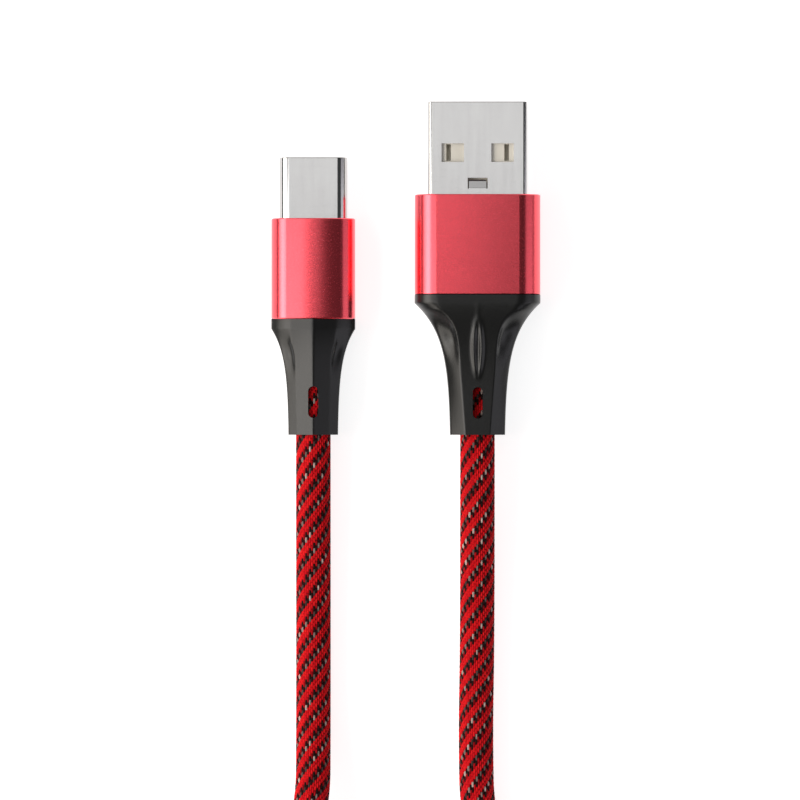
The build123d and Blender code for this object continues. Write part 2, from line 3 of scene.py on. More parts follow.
import bmesh
import bpy
import numpy as np
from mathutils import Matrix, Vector


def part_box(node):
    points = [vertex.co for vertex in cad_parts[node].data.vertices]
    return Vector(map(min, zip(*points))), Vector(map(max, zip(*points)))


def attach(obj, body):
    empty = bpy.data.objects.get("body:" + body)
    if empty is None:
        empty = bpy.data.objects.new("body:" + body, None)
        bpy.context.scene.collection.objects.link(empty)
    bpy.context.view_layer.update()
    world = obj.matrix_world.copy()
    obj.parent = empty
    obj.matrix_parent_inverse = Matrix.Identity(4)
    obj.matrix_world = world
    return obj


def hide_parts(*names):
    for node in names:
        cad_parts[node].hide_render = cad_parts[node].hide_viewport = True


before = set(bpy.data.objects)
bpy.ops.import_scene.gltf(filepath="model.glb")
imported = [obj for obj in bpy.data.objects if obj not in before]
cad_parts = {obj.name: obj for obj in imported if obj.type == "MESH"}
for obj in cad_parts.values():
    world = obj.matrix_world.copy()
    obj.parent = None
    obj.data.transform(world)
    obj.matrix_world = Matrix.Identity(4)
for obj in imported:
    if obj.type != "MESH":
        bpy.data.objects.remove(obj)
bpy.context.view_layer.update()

# A USB-A to USB-C charging cable. Metres, in the frame's own axes: both plugs point along +Y, +Z is up,
# and the cable lies on Z 0.
MM = 0.001
BODY = "cable"


def middle(node):
    """Centre of a CAD node's box."""
    low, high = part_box(node)
    return (low + high) / 2


# Camera

BACK_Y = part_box("usb_a_boot")[0].y
VIEW_WIDTH = 96.7 * MM                       # width of the view at the height of the plugs
VIEW_X, VIEW_Y, VIEW_Z = -0.7 * MM, BACK_Y + 4.2 * MM, 4 * MM
LENS, SENSOR = 300, 36


def add_camera():
    """Long lens straight above the plugs."""
    data = bpy.data.cameras.new("camera")
    data.lens, data.sensor_width = LENS, SENSOR
    data.clip_start, data.clip_end = 0.01, 20
    camera = bpy.data.objects.new("camera", data)
    camera.location = (VIEW_X, VIEW_Y, VIEW_Z + VIEW_WIDTH * LENS / SENSOR)
    bpy.context.scene.collection.objects.link(camera)
    bpy.context.scene.camera = camera


# Cord: out of the USB-A boot, round the hank and back into the USB-C boot

CORD_D = 4.2 * MM
CORE_R = 1.75 * MM
A_X, A_Z = middle("usb_a_boot").x, middle("usb_a_boot").z
C_X, C_Z = middle("usb_c_boot").x, middle("usb_c_boot").z
LOW_Z, HIGH_Z = CORD_D / 2, 1.5 * CORD_D

A_ROUTE = [
    (A_X, -0.0046, A_Z),
    (A_X, -0.0148, A_Z),
    (A_X, -0.0250, A_Z),
    (A_X, -0.0455, LOW_Z),
    (A_X - 0.0002, -0.0560, LOW_Z),
    (A_X, -0.0675, LOW_Z),
    (A_X + 0.0049, -0.0780, LOW_Z),
]
C_ROUTE = [
    (C_X, -0.0075, C_Z),
    (C_X, -0.0163, C_Z),
    (C_X, -0.0250, C_Z),
    (C_X, -0.0425, LOW_Z),
    (C_X, -0.0545, LOW_Z + 0.0002),
    (C_X, -0.0665, HIGH_Z - 0.0011),
    (C_X - 0.0049, -0.0775, HIGH_Z),
]

# The hank: four turns, two side by side and two high. Its near folds are the ones by the plugs.
HANK_X = (A_X + C_X) / 2
INNER_R, OUTER_R = 3 * CORD_D, 4 * CORD_D
NEAR_Y, FAR_Y = -0.0880, -0.1474
TIE_Y = (NEAR_Y + FAR_Y) / 2
WAIST = 0.8 * MM                             # how far the tie draws the cords in and lifts them
STEP = math.radians(22.5)
TURNS = [                                    # radius, height, and how far its far fold has slipped
    (OUTER_R, LOW_Z, -0.9 * MM),
    (INNER_R, LOW_Z, -0.2 * MM),
    (INNER_R, HIGH_Z, 0.3 * MM),
    (OUTER_R, HIGH_Z, -0.3 * MM),
]
NEAR_FOLDS = [                               # centre across, radius, and height above the lowest turn
    (-CORD_D / 2, INNER_R + CORD_D / 2, (0, 0, 0, 0, 0)),
    (0, INNER_R, (0, 2.3 * MM, 3.75 * MM, 4.0 * MM, 4.2 * MM)),
    (CORD_D / 2, INNER_R + CORD_D / 2, (4.2 * MM, 6.6 * MM, 7.5 * MM, 6.3 * MM, 4.2 * MM)),
]


def fold(x, y, radius, way, heights):
    """Control points of a half turn about (x, y). way is 1 round its +Y side, and -1 back."""
    points = []
    reach = radius / math.cos(STEP / 2)
    for k in range(10):
        turn = (k - 0.5) * STEP
        height = np.interp(math.degrees(turn), (0, 45, 90, 135, 180), heights)
        points.append((x - way * reach * math.cos(turn), y + way * reach * math.sin(turn), height))
    return points


def straight(x, z, way):
    """Control points of one straight side, drawn in and lifted where the tie goes round it."""
    drawn = x - math.copysign(WAIST, x - HANK_X)
    points = [(x, TIE_Y - way * 13 * MM, z)]
    points += [(drawn, TIE_Y + offset * way, z + WAIST) for offset in (-4.5 * MM, 0, 4.5 * MM)]
    return points + [(x, TIE_Y + way * 13 * MM, z)]


def hank_points():
    """Control points of the four turns, from the USB-A end to the USB-C end."""
    points = [(HANK_X + OUTER_R, NEAR_Y + 2 * MM, LOW_Z)]
    for k, (radius, z, slip) in enumerate(TURNS):
        points += straight(HANK_X + radius, z, -1)
        points += fold(HANK_X, FAR_Y + slip, radius, -1, (z,) * 5)
        points += straight(HANK_X - radius, z, 1)
        if k < len(NEAR_FOLDS):
            shift, near_radius, rise = NEAR_FOLDS[k]
            points += fold(HANK_X + shift, NEAR_Y, near_radius, 1, [LOW_Z + r for r in rise])
    return points + [(HANK_X - OUTER_R, NEAR_Y + 2 * MM, HIGH_Z)]


def spline_object(name, points, radius):
    """Round cord along a smooth spline with these control points."""
    curve = bpy.data.curves.new(name, "CURVE")
    curve.dimensions = "3D"
    curve.resolution_u = 24
    curve.bevel_depth, curve.bevel_resolution, curve.use_fill_caps = radius, 5, True
    spline = curve.splines.new("NURBS")
    spline.points.add(len(points) - 1)
    for point, place in zip(spline.points, points):
        point.co = (*place, 1)
    spline.order_u = 3
    spline.use_endpoint_u = True
    piece = bpy.data.objects.new(name, curve)
    bpy.context.scene.collection.objects.link(piece)
    return piece


def centreline(piece):
    """Points along a spline object's own line, as an array."""
    bare = piece.copy()
    bare.data = piece.data.copy()
    bare.data.bevel_depth = 0
    mesh = bpy.data.meshes.new_from_object(bare)
    points = np.array([v.co for v in mesh.vertices])
    bpy.data.objects.remove(bare)
    bpy.data.meshes.remove(mesh)
    return points


class Line:
    """A line with the distance along it and axes that don't twist about it."""

    def __init__(self, points):
        self.points = points
        steps = np.diff(points, axis=0)
        self.along = np.concatenate(([0], np.cumsum(np.linalg.norm(steps, axis=1))))
        self.length = self.along[-1]
        tangents = np.gradient(points, axis=0)
        self.tangents = tangents / np.linalg.norm(tangents, axis=1)[:, None]
        normal = np.array((0.0, 0.0, 1.0))
        normals = []
        for tangent in self.tangents:
            normal = normal - tangent * (normal @ tangent)
            normal /= np.linalg.norm(normal)
            normals.append(normal)
        self.normals = np.array(normals)

    def at(self, distances):
        """Places and both cross axes at these distances along the line."""
        def read(values):
            return np.stack([np.interp(distances, self.along, values[:, k]) for k in range(3)], axis=1)
        tangents, normals = read(self.tangents), read(self.normals)
        tangents /= np.linalg.norm(tangents, axis=1)[:, None]
        normals -= tangents * (normals * tangents).sum(1)[:, None]
        normals /= np.linalg.norm(normals, axis=1)[:, None]
        return read(self.points), normals, np.cross(tangents, normals)


# Braid: 24 columns of long stitches round the cord, each column half a stitch on from the last

COLUMNS = 24
STITCH = 0.6425 * MM                         # along the cord
BRAID_DEPTH = 0.17 * MM


def stitch_relief(around, along):
    """Height from 0 to 1 of the braid at turns round the cord and a distance along it."""
    column = 2 * COLUMNS * around
    nearest = np.round(column)
    across = 2 * (column - nearest)
    rows = along / STITCH - (nearest % 2) / 2
    within = 2 * (rows - np.round(rows))
    return np.sqrt(np.clip(1 - across ** 2, 0, 1) * np.clip(1 - within ** 4, 0, 1))


def braid(name, line, start, end, per_column, per_stitch, depth):
    """Woven sleeve round part of a line. Its UV map holds turns round the cord and metres along it."""
    count = 2 * COLUMNS * per_column
    step = STITCH / per_stitch
    rows = np.arange(math.ceil(start / step), math.floor(end / step) + 1) * step
    centres, normals, sides = line.at(rows)
    turns = np.arange(count) / count
    angles = 2 * math.pi * turns
    relief = stitch_relief(turns[None, :], rows[:, None])
    radius = CORD_D / 2 - depth * (1 - relief)
    cosines, sines = np.cos(angles)[None, :, None], np.sin(angles)[None, :, None]
    around = normals[:, None] * cosines + sides[:, None] * sines
    vertices = (centres[:, None] + radius[..., None] * around).reshape(-1, 3)
    first = np.arange(len(rows) - 1)[:, None] * count
    here, there = np.arange(count)[None, :], (np.arange(count)[None, :] + 1) % count
    faces = np.stack([first + here, first + there, first + count + there, first + count + here], axis=-1)
    mesh = bpy.data.meshes.new(name)
    mesh.from_pydata(vertices.tolist(), [], faces.reshape(-1, 4).tolist())
    low, high = np.broadcast_arrays(rows[:-1, None], turns[None, :])[0], rows[1:, None] + 0 * turns[None, :]
    left = np.broadcast_to(turns[None, :], low.shape)
    right = left + 1 / count
    uv = np.stack([left, low, right, low, right, high, left, high], axis=-1)
    mesh.uv_layers.new(name="braid").data.foreach_set("uv", uv.astype(np.float32).ravel())
    mesh.shade_smooth()
    piece = bpy.data.objects.new(name, mesh)
    bpy.context.scene.collection.objects.link(piece)
    return piece


# Boots: a flat or ridged front, scooped flanks and a slot that shows the braid

class Boot:
    """Measures of one strain relief, with Y counted from its back end towards the housing."""

    def __init__(self, node, end_w, end_h, shoulder, flare, corner, flank, crease, ridge, scoop,
                 slot_back, leaf):
        """Its back end is end_w by end_h, and it flares over about flare below a straight shoulder.

        The crease between front and flank is given by its distance from the middle, its slope, and how far,
        from where and how fast it spreads. flank is the share of the half height at which the flank ends,
        and leaf is where the ribs on the front start and end.
        """
        low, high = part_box(node)
        self.node = node
        self.x, self.y, self.z = (low.x + high.x) / 2, low.y, (low.z + high.z) / 2
        self.width, self.length, self.height = high - low
        self.end_w, self.end_h, self.shoulder, self.flare = end_w, end_h, shoulder, flare
        self.corner, self.flank, self.crease, self.ridge, self.scoop = corner, flank, crease, ridge, scoop
        self.slot_back, self.leaf = slot_back, leaf


BOOTS = {
    "boot_a": Boot("usb_a_boot", 6.5 * MM, 6.2 * MM, 1.0 * MM, 3.9 * MM, 2.7 * MM, flank=0.62,
                   crease=(1.5 * MM, 0.075, 3.6 * MM, 16 * MM, 1.4 * MM), ridge=0.0, scoop=0.22,
                   slot_back=1.95 * MM, leaf=(6.6 * MM, 16.4 * MM)),
    "boot_c": Boot("usb_c_boot", 5.9 * MM, 5.7 * MM, 1.2 * MM, 3.3 * MM, 2.3 * MM, flank=0.52,
                   crease=(1.9 * MM, 0.03, 2.6 * MM, 13 * MM, 1.1 * MM), ridge=0.42, scoop=0.13,
                   slot_back=2.05 * MM, leaf=None),
}
ARC_BULGE = 0.207                            # height of a quarter circle's arc over its chord
SCOOP_PEAK = 27 / 4                          # makes the top of p (1 - p)^2 a height of 1
SCOOP_PLACE, SCOOP_REACH = 0.7, 0.13         # as shares of the boot's length
SHARP = math.radians(42)
BORE_R = CORD_D / 2 + 0.08 * MM
SLOT_L, SLOT_W = 3.8 * MM, 1.2 * MM
FRONT_STEPS, FLANK_STEPS, SIDE_STEPS, STATIONS = 26, 22, 8, 110


def boot_quarter(boot, y):
    """Outline of a quarter of a boot's section at y, from the middle of its front to that of its side."""
    back = max(boot.length - boot.shoulder - y, 0) / boot.flare
    share = math.exp(-back)
    half_w = (boot.end_w + (boot.width - boot.end_w) * share) / 2
    half_h = (boot.end_h + (boot.height - boot.end_h) * math.exp(-0.75 * back ** 1.7)) / 2
    base, slope, spread, spread_y, spread_rate = boot.crease
    crease = base + slope * y + spread * math.exp((y - spread_y) / spread_rate)
    crease = min(crease, half_w - boot.corner * share - 0.4 * MM * (1 - share))
    low = boot.flank * half_h * (1 - share) + (half_h - boot.corner) * share
    ridge = boot.ridge * (1 - 0.3 * share)
    across = np.linspace(0, 1, FRONT_STEPS, endpoint=False)
    front = np.stack([crease * across, half_h - ridge * crease * across], axis=1)
    drop = half_h - ridge * crease
    chord = np.array((half_w - crease, low - drop))
    outward = np.array((-chord[1], chord[0]))
    lean = math.atan2(drop - low, half_w - crease) - math.atan(ridge)
    rounding = ARC_BULGE * share ** 0.7 * math.tan(min(max(lean, 0), math.pi / 4))
    scoop = boot.scoop * math.exp(-((y / boot.length - SCOOP_PLACE) / SCOOP_REACH) ** 2)
    part = np.linspace(0, 1, FLANK_STEPS, endpoint=False)[:, None]
    bulge = 4 * part * (1 - part) * rounding - SCOOP_PEAK * part * (1 - part) ** 2 * scoop
    flank = np.array((crease, drop)) + part * chord + bulge * outward
    side = np.stack([np.full(SIDE_STEPS, half_w), np.linspace(low, 0, SIDE_STEPS, endpoint=False)], axis=1)
    if boot.leaf:
        front[:, 1] += leaf_height(front[:, 0], y, *boot.leaf)
    return np.concatenate([front, flank, side])


def leaf_height(x, y, start, end):
    """Two slim ribs that part from one point and close into a fine line, with a groove between them."""
    along = (y - start) / (end - start)
    if not 0 < along < 1:
        return 0 * x
    spread = math.sin(math.pi * min(along / 0.8, 1)) ** 0.8
    ribs = np.exp(-((x - 0.48 * MM * spread) / (0.25 * MM)) ** 2)
    groove = np.exp(-(x / (0.13 * MM)) ** 2)
    line = np.exp(-(x / (0.10 * MM)) ** 2) * min(1, 6 * (1 - along), 4 * along)
    return (0.28 * spread * ribs - 0.15 * spread * groove + 0.06 * line) * MM


def closed_tube(name, rings):
    """Mesh through rings of points, capped at both ends."""
    count = len(rings[0])
    mesh = bmesh.new()
    loops = [[mesh.verts.new(point) for point in ring] for ring in rings]
    for one, two in zip(loops, loops[1:]):
        for k in range(count):
            mesh.faces.new((one[k], one[(k + 1) % count], two[(k + 1) % count], two[k]))
    mesh.faces.new(loops[0][::-1])
    mesh.faces.new(loops[-1])
    bmesh.ops.recalc_face_normals(mesh, faces=mesh.faces)
    data = bpy.data.meshes.new(name)
    mesh.to_mesh(data)
    mesh.free()
    piece = bpy.data.objects.new(name, data)
    bpy.context.scene.collection.objects.link(piece)
    return piece


def cut(piece, cutters):
    """Takes the cutters out of a piece, and leaves its mesh with crisp edges."""
    for cutter in cutters:
        modifier = piece.modifiers.new("cut", "BOOLEAN")
        modifier.object, modifier.operation, modifier.solver = cutter, "DIFFERENCE", "EXACT"
    bpy.context.view_layer.update()
    evaluated = piece.evaluated_get(bpy.context.evaluated_depsgraph_get())
    mesh = bpy.data.meshes.new_from_object(evaluated)
    piece.modifiers.clear()
    piece.data = mesh
    for cutter in cutters:
        bpy.data.objects.remove(cutter)
    mesh.shade_smooth()
    mesh.set_sharp_from_angle(angle=SHARP)


def add_boot(name, boot):
    """One moulded boot, built from its sections."""
    ys = boot.length * (1 - np.linspace(1, 0, STATIONS) ** 1.15)
    rings = []
    for y in ys:
        quarter = boot_quarter(boot, y)
        right_front = quarter
        right_back = quarter[1:][::-1] * (1, -1)
        middle_side = np.array([[quarter[-1][0], 0.0]])
        half = np.concatenate([right_front, middle_side, right_back, [quarter[0] * (1, -1)]])
        ring = np.concatenate([half, half[1:-1][::-1] * (-1, 1)])
        for _ in range(2):
            ring = (np.roll(ring, 1, axis=0) + 2 * ring + np.roll(ring, -1, axis=0)) / 4
        rings.append([(boot.x + x, boot.y + y, boot.z + z) for x, z in ring])
    piece = closed_tube(name, rings)
    angles = np.linspace(0, 2 * math.pi, 72, endpoint=False)
    bore = [[(boot.x + BORE_R * math.cos(a), y, boot.z + BORE_R * math.sin(a)) for a in angles]
            for y in (boot.y - MM, boot.y + boot.length + MM)]
    half_l, slot_y = (SLOT_L - SLOT_W) / 2, boot.y + boot.slot_back + SLOT_L / 2
    rim = [(boot.x + SLOT_W / 2 * math.cos(a),
            slot_y + math.copysign(half_l, math.sin(a)) + SLOT_W / 2 * math.sin(a)) for a in angles + 0.001]
    window = [[(x, y, z) for x, y in rim] for z in (boot.z - 8 * MM, boot.z + 8 * MM)]
    cut(piece, [closed_tube("bore", bore), closed_tube("window", window)])
    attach(piece, BODY)
    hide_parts(boot.node)
    return piece


# Tie: a hook-and-loop strap that goes once round the hank and laps over itself on top

TIE_W, TIE_T = 10 * MM, 0.8 * MM
TIE_CORNER = 2.2 * MM
LAP = 15 * MM


def add_tie():
    """Strap along a rounded rectangle, with a lapped end and rounded edges."""
    low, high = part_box("hank_tie")
    half_w, top = (high.x - low.x) / 2 - TIE_T / 2, high.z - TIE_T / 2
    outline = []
    for x, z, start in ((1, 1, 90), (1, -1, 0), (-1, -1, -90), (-1, 1, -180)):
        centre_x = HANK_X + x * (half_w - TIE_CORNER)
        centre_z = (top - TIE_CORNER) if z > 0 else TIE_T / 2 + TIE_CORNER
        for k in range(9):
            a = math.radians(start - k * 11.25)
            outline.append((centre_x + TIE_CORNER * math.cos(a), centre_z + TIE_CORNER * math.sin(a)))
    begin = (HANK_X - 2 * MM, top)
    lapped = [(HANK_X - 4 * MM, top + 0.25 * TIE_T), (HANK_X - 1.5 * MM, top + TIE_T * 1.02),
              (HANK_X + LAP - 6 * MM, top + TIE_T * 1.02), (HANK_X + LAP - 4 * MM, top + TIE_T * 1.04)]
    path = np.array([begin] + outline + lapped)
    steps = np.concatenate(([0], np.cumsum(np.linalg.norm(np.diff(path, axis=0), axis=1))))
    places = np.linspace(0, steps[-1], 260)
    path = np.stack([np.interp(places, steps, path[:, k]) for k in range(2)], axis=1)
    tangents = np.gradient(path, axis=0)
    tangents /= np.linalg.norm(tangents, axis=1)[:, None]
    normals = np.stack([-tangents[:, 1], tangents[:, 0]], axis=1)
    rings = []
    for place, (x, z), (nx, nz) in zip(places, path, normals):
        left = steps[-1] - place
        half = TIE_W / 2 - 0.15 * MM
        half -= half * (1 - math.sqrt(max(0, 1 - (1 - min(left / (4 * MM), 1)) ** 2))) * 0.75
        thick = TIE_T / 2 * 0.92
        section = []
        for a in np.linspace(0, 2 * math.pi, 28, endpoint=False):
            c, s = math.cos(a), math.sin(a)
            across, up = math.copysign(abs(c) ** 0.25, c), math.copysign(abs(s) ** 0.6, s)
            section.append((across * half, up * thick))
        rings.append([(x + nx * t, TIE_Y + w, z + nz * t) for w, t in section])
    piece = closed_tube("tie_strap", rings)
    piece.data.shade_smooth()
    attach(piece, BODY)
    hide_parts("hank_tie")
    return piece


# Materials

PLATED_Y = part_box("usb_a_contact_vbus")[1].y - 4.5 * MM


class Finish:
    """A node material being put together."""

    def __init__(self, name, colour, roughness, metallic=0.0, **sockets):
        self.material = bpy.data.materials.new(name)
        self.material.use_nodes = True
        self.tree = self.material.node_tree
        self.shader = self.tree.nodes["Principled BSDF"]
        self.shader.inputs["Metallic"].default_value = metallic
        self.put(self.shader.inputs["Base Color"], colour)
        self.put(self.shader.inputs["Roughness"], roughness)
        for socket, value in sockets.items():
            self.put(self.shader.inputs[socket.replace("_", " ")], value)

    def put(self, socket, value):
        """Links a socket, or sets its own value."""
        if isinstance(value, bpy.types.NodeSocket):
            self.tree.links.new(value, socket)
        elif socket.type == "RGBA" and len(value) == 3:
            socket.default_value = (*value, 1)
        else:
            socket.default_value = value

    def node(self, kind, inputs=(), **settings):
        """A new node, with some of its sockets linked or set."""
        made = self.tree.nodes.new(kind)
        for key, value in settings.items():
            setattr(made, key, value)
        for key, value in dict(inputs).items():
            self.put(made.inputs[key], value)
        return made

    def calc(self, operation, a, b=0.0, c=0.0):
        """One step of arithmetic."""
        return self.node("ShaderNodeMath", {0: a, 1: b, 2: c}, operation=operation).outputs[0]

    def mix(self, share, a, b):
        """Colour between a and b."""
        return self.node("ShaderNodeMix", {0: share, 6: a, 7: b}, data_type="RGBA").outputs[2]

    def scale(self, value, low, high):
        """A 0 to 1 value brought between low and high."""
        return self.node("ShaderNodeMapRange", {0: value, 3: low, 4: high}).outputs[0]

    def place(self, stretch=(1, 1, 1)):
        """Position on the object, stretched along its axes."""
        where = self.node("ShaderNodeTexCoord").outputs["Object"]
        return self.node("ShaderNodeMapping", {"Vector": where, "Scale": stretch}).outputs[0]

    def noise(self, scale, detail=3.0, stretch=(1, 1, 1), roughness=0.5):
        """Soft random value, with scale in features per metre."""
        inputs = {"Vector": self.place(stretch), "Scale": scale, "Detail": detail, "Roughness": roughness}
        return self.node("ShaderNodeTexNoise", inputs).outputs[0]

    def bump(self, height, distance, strength=1.0):
        """Raises the surface by a 0 to 1 height times a distance."""
        normal = self.shader.inputs["Normal"]
        inputs = {"Height": height, "Distance": distance, "Strength": strength}
        if normal.is_linked:
            inputs["Normal"] = normal.links[0].from_socket
        self.put(normal, self.node("ShaderNodeBump", inputs).outputs[0])


def shade(colour, factor):
    """A lighter or darker version of a colour."""
    return tuple(min(1, c * factor) for c in colour)


def mottled(name, colour, roughness, grain, depth, spread=0.12, metallic=0.0, **sockets):
    """Material with a fine grain in its height, and a slow drift in its colour and roughness."""
    finish = Finish(name, colour, roughness, metallic, **sockets)
    drift = finish.noise(grain / 12, 4)
    fine = finish.noise(grain, 3)
    finish.put(finish.shader.inputs["Base Color"],
               finish.mix(drift, shade(colour, 1 - spread), shade(colour, 1 + spread)))
    finish.put(finish.shader.inputs["Roughness"], finish.scale(fine, roughness * 0.85, roughness * 1.15))
    finish.bump(fine, depth)
    return finish


def anodised_red():
    """Bead-blasted, dyed aluminium with a thin clear oxide over it."""
    return mottled("red_anodised", (0.95, 0.085, 0.115), 0.26, 9000, 0.003 * MM, 0.04, 1.0,
                   Coat_Weight=0.5, Coat_Roughness=0.2, Coat_IOR=1.6)


def nickel():
    """Nickel-plated steel with a faint rolling grain and a few fine scratches."""
    finish = Finish("nickel_steel", (0.64, 0.63, 0.62), 0.12, 1.0)
    grain = finish.noise(1500, 3, (1, 0.08, 1))
    drift = finish.noise(260, 3)
    scratch = finish.noise(900, 2, (0.08, 1, 1))
    off_line = finish.calc("ABSOLUTE", finish.calc("SUBTRACT", scratch, 0.5))
    lines = finish.calc("LESS_THAN", off_line, 0.004)
    finish.put(finish.shader.inputs["Base Color"],
               finish.mix(drift, (0.56, 0.55, 0.545), (0.61, 0.605, 0.60)))
    finish.put(finish.shader.inputs["Roughness"], finish.scale(grain, 0.09, 0.15))
    finish.bump(grain, 0.0006 * MM)
    finish.bump(lines, 0.0002 * MM)
    return finish


def contact_metal():
    """Gold over the fronts of the contacts. The USB-A ones are left as bare bronze further back."""
    finish = mottled("gold_contact", (0.92, 0.66, 0.26), 0.22, 7000, 0.003 * MM, 0.08, 1.0)
    where = finish.node("ShaderNodeSeparateXYZ", {0: finish.place()})
    bare = finish.calc("MULTIPLY", finish.calc("GREATER_THAN", where.outputs[0], 0.0),
                       finish.calc("LESS_THAN", where.outputs[1], PLATED_Y))
    colour = finish.shader.inputs["Base Color"]
    finish.put(colour, finish.mix(bare, colour.links[0].from_socket, (0.22, 0.12, 0.06)))
    return finish


def braid_finish(name, relief):
    """Two-colour braid drawn stitch by stitch from the turns round the cord and the metres along it."""
    finish = Finish(name, (0.5, 0.01, 0.02), 0.55, Specular_IOR_Level=0.08, Sheen_Weight=0.3,
                    Sheen_Roughness=0.4, Sheen_Tint=(1.0, 0.0, 0.0, 1.0))
    uv = finish.node("ShaderNodeSeparateXYZ", {0: finish.node("ShaderNodeUVMap").outputs[0]})
    column = finish.calc("MULTIPLY", uv.outputs[0], 2 * COLUMNS)
    nearest = finish.calc("ROUND", column)
    odd = finish.calc("MODULO", nearest, 2)
    stitches = finish.calc("DIVIDE", uv.outputs[1], STITCH)
    rows = finish.calc("SUBTRACT", stitches, finish.calc("MULTIPLY", odd, 0.5))
    row = finish.calc("ROUND", rows)
    across = finish.calc("MULTIPLY", finish.calc("SUBTRACT", column, nearest), 2)
    within = finish.calc("MULTIPLY", finish.calc("SUBTRACT", rows, row), 2)
    half_even = finish.calc("MULTIPLY", finish.calc("SUBTRACT", nearest, odd), 0.5)
    strand = finish.calc("FLOORED_MODULO", finish.calc("SUBTRACT", half_even, row), 4)
    cell = finish.node("ShaderNodeCombineXYZ", {0: nearest, 1: row}).outputs[0]
    chance = finish.node("ShaderNodeTexWhiteNoise", {"Vector": cell}, noise_dimensions="2D").outputs[0]
    slowly = finish.calc("MULTIPLY", rows, 0.18)
    thread = finish.node("ShaderNodeCombineXYZ", {0: column, 1: slowly}).outputs[0]
    filaments = finish.node("ShaderNodeTexWave", {"Vector": thread, "Scale": 1.1, "Distortion": 0.6,
                                                  "Detail": 1.0}).outputs[1]
    rare = finish.calc("POWER", chance, 3.0)
    red = finish.mix(chance, (0.74, 0.002, 0.010), (1.0, 0.014, 0.018))
    deep = finish.mix(chance, (0.24, 0.001, 0.004), (0.62, 0.004, 0.010))
    black = finish.mix(chance, (0.007, 0.003, 0.003), (0.022, 0.007, 0.007))
    fleck = finish.mix(rare, (0.07, 0.045, 0.042), (0.78, 0.64, 0.58))
    is_dark = finish.calc("GREATER_THAN", strand, 2.5)
    past_red = finish.calc("GREATER_THAN", strand, 1.5)
    is_edge = finish.calc("MULTIPLY", past_red, finish.calc("SUBTRACT", 1, is_dark))
    edge = finish.mix(odd, black, deep)
    colour = finish.mix(is_edge, red, edge)
    colour = finish.mix(is_dark, colour, finish.mix(odd, fleck, black))
    height_across = finish.calc("SUBTRACT", 1, finish.calc("POWER", finish.calc("ABSOLUTE", across), 2))
    height_within = finish.calc("SUBTRACT", 1, finish.calc("POWER", finish.calc("ABSOLUTE", within), 4))
    crown = finish.calc("MAXIMUM", finish.calc("MULTIPLY", height_across, height_within), 0)
    height = finish.calc("SQRT", crown)
    # Painted shade: the colour is darkened towards the gaps between the stitches, as if shade fell in them.
    away_from_painted_gap_shade = finish.calc("POWER", height, 0.7)
    colour = finish.mix(away_from_painted_gap_shade, finish.mix(0.72, colour, (0.01, 0.001, 0.001)), colour)
    colour = finish.mix(finish.calc("MULTIPLY", filaments, 0.14), colour, (0.03, 0.0, 0.0))
    finish.put(finish.shader.inputs["Base Color"], colour)
    finish.put(finish.shader.inputs["Roughness"], finish.scale(chance, 0.46, 0.62))
    if relief:
        finish.bump(height, relief)
    finish.bump(filaments, 0.012 * MM)
    return finish


def printed_board():
    """Solder mask over copper tracks that run along the board."""
    finish = Finish("green_board", (0.01, 0.16, 0.05), 0.28, Coat_Weight=0.3, Coat_Roughness=0.15)
    tracks = finish.node("ShaderNodeTexWave", {"Vector": finish.place((1, 0.02, 1)), "Scale": 320,
                                               "Distortion": 0.4}, bands_direction="X").outputs[1]
    on_track = finish.calc("GREATER_THAN", tracks, 0.72)
    finish.put(finish.shader.inputs["Base Color"],
               finish.mix(on_track, (0.008, 0.12, 0.04), (0.03, 0.26, 0.08)))
    finish.bump(on_track, 0.02 * MM)
    return finish


def strap_finish():
    """Brushed nylon loops over a coarse knit."""
    finish = Finish("strap_black", (0.02, 0.02, 0.022), 0.85, Sheen_Weight=0.5, Sheen_Roughness=0.5)
    where = finish.place((1, 0.6, 1))
    knit = finish.node("ShaderNodeTexVoronoi", {"Vector": where, "Scale": 2600}).outputs[0]
    fuzz = finish.noise(5200, 6, roughness=0.7)
    both = finish.calc("ADD", finish.calc("MULTIPLY", knit, 0.7), finish.calc("MULTIPLY", fuzz, 0.6))
    finish.put(finish.shader.inputs["Base Color"],
               finish.mix(both, (0.012, 0.012, 0.013), (0.055, 0.055, 0.06)))
    finish.bump(both, 0.16 * MM)
    return finish


def make_finishes():
    """Every material of the object, by the record's slot name."""
    plastics = {
        "jacket_black": ((0.02, 0.02, 0.02), 0.5, 4000, 0.01 * MM),
        "ivory_plastic": ((0.80, 0.77, 0.69), 0.42, 4500, 0.006 * MM),
        "black_plastic": ((0.022, 0.022, 0.024), 0.35, 5000, 0.005 * MM),
        "wire_red": ((0.55, 0.02, 0.02), 0.38, 4000, 0.008 * MM),
        "wire_white": ((0.75, 0.74, 0.71), 0.38, 4000, 0.008 * MM),
        "wire_green": ((0.03, 0.34, 0.08), 0.38, 4000, 0.008 * MM),
        "wire_black": ((0.02, 0.02, 0.02), 0.38, 4000, 0.008 * MM),
        "ceramic_chip": ((0.16, 0.13, 0.10), 0.45, 9000, 0.004 * MM),
    }
    finishes = {slot: mottled(slot, *values) for slot, values in plastics.items()}
    finishes["black_boot"] = mottled("black_boot", (0.006, 0.0062, 0.006), 0.3, 5000, 0.005 * MM,
                                     Specular_IOR_Level=0.44)
    finishes["clear_mould"] = mottled("clear_mould", (0.72, 0.72, 0.68), 0.3, 3000, 0.01 * MM,
                                      Subsurface_Weight=0.2, Subsurface_Scale=0.5 * MM)
    finishes["gold_contact"] = contact_metal()
    finishes["red_anodised"] = anodised_red()
    finishes["nickel_steel"] = nickel()
    finishes["green_board"] = printed_board()
    finishes["strap_black"] = strap_finish()
    finishes["red_braid"] = braid_finish("red_braid", 0)
    return {slot: finish.material for slot, finish in finishes.items()}


def paint(piece, material):
    """Gives a piece one material."""
    piece.data.materials.clear()
    piece.data.materials.append(material)


# Studio

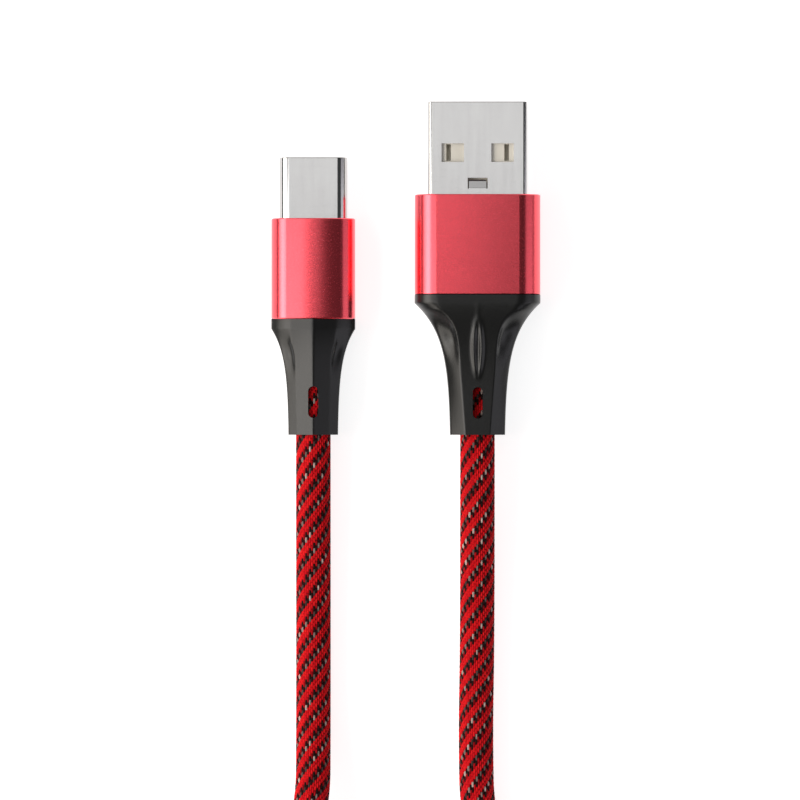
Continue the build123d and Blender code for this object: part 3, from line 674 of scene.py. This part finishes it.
FLOOR_SIZE = 40


def add_floor():
    """Pale floor with a little light of its own, so that shadows on it stay faint."""
    finish = Finish("floor", (0.56, 0.56, 0.56), 0.9, Emission_Color=(1, 1, 1), Emission_Strength=0.84,
                    Specular_IOR_Level=0.1)
    grain = finish.noise(40, 2)
    finish.put(finish.shader.inputs["Base Color"],
               finish.mix(grain, (0.55, 0.55, 0.55), (0.57, 0.57, 0.57)))
    bpy.ops.mesh.primitive_plane_add(size=FLOOR_SIZE)
    floor = bpy.context.object
    floor.name = "floor"
    finish.material.cycles.emission_sampling = "NONE"
    paint(floor, finish.material)


def add_panel(name, place, along, across, radiance, colour=(1, 1, 1)):
    """Soft rectangular light that faces the plugs, with its sides along and across them.

    It looks as bright whatever its size.
    """
    data = bpy.data.lights.new(name, "AREA")
    data.shape, data.size, data.size_y = "RECTANGLE", along, across
    data.energy, data.color = radiance * math.pi * along * across, colour
    panel = bpy.data.objects.new(name, data)
    panel.location = place
    aim = Vector((VIEW_X, place[1] if place[0] else VIEW_Y, 0))
    panel.rotation_euler = (Vector(place) - aim).to_track_quat("Z", "Y").to_euler()
    bpy.context.scene.collection.objects.link(panel)


def add_studio():
    """Two strong lights on the left, a strip on the right, and weak ones at the front and overhead."""
    add_panel("key_low", (-0.35, VIEW_Y, 0.265), 0.8, 0.30, 3.1, (1.0, 0.94, 0.86))
    add_panel("key_high", (-0.27, VIEW_Y - 0.019, 0.42), 0.122, 0.44, 2.9, (1.0, 0.98, 0.96))
    add_panel("strip_right", (0.42, VIEW_Y - 0.1535, 0.24), 0.393, 0.36, 1.1, (0.95, 0.93, 1.0))
    add_panel("fill_front", (0, VIEW_Y + 0.58, 0.56), 0.3, 0.3, 0.6)
    add_panel("overhead", (-0.09, VIEW_Y + 0.272, 1.3), 0.5, 0.43, 1.1)
    world = bpy.data.worlds.new("studio")
    world.use_nodes = True
    world.node_tree.nodes["Background"].inputs["Color"].default_value = (0.95, 0.97, 1.0, 1)
    world.node_tree.nodes["Background"].inputs["Strength"].default_value = 0.06
    bpy.context.scene.world = world
    bpy.context.scene.view_settings.view_transform = "Standard"


add_camera()
add_floor()
add_studio()
finishes = make_finishes()
coarse_braid = braid_finish("red_braid_hank", BRAID_DEPTH).material
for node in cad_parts.values():
    for slot in node.material_slots:
        slot.material = finishes[slot.material.name]
cord = spline_object("cable_jacket", A_ROUTE + hank_points() + C_ROUTE[::-1], CORE_R)
paint(cord, finishes["jacket_black"])
line = Line(centreline(cord))
print("cord", round(line.length, 4))
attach(cord, BODY)
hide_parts("cord_a_run", "cord_c_run", "cord_hank")
for name, boot in BOOTS.items():
    paint(add_boot(name, boot), finishes["black_boot"])
tie = add_tie()
paint(tie, finishes["strap_black"])
A_SLEEVE, C_SLEEVE = 76 * MM, 74 * MM        # how far the finer braid goes from each end
for name, start, end, fine in (("braid_a_end", 0, A_SLEEVE, True),
                               ("braid_hank", A_SLEEVE, line.length - C_SLEEVE, False),
                               ("braid_c_end", line.length - C_SLEEVE, line.length, True)):
    piece = braid(name, line, start, end, *((4, 4, BRAID_DEPTH) if fine else (1, 2, 0)))
    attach(piece, BODY)
    paint(piece, finishes["red_braid"] if fine else coarse_braid)
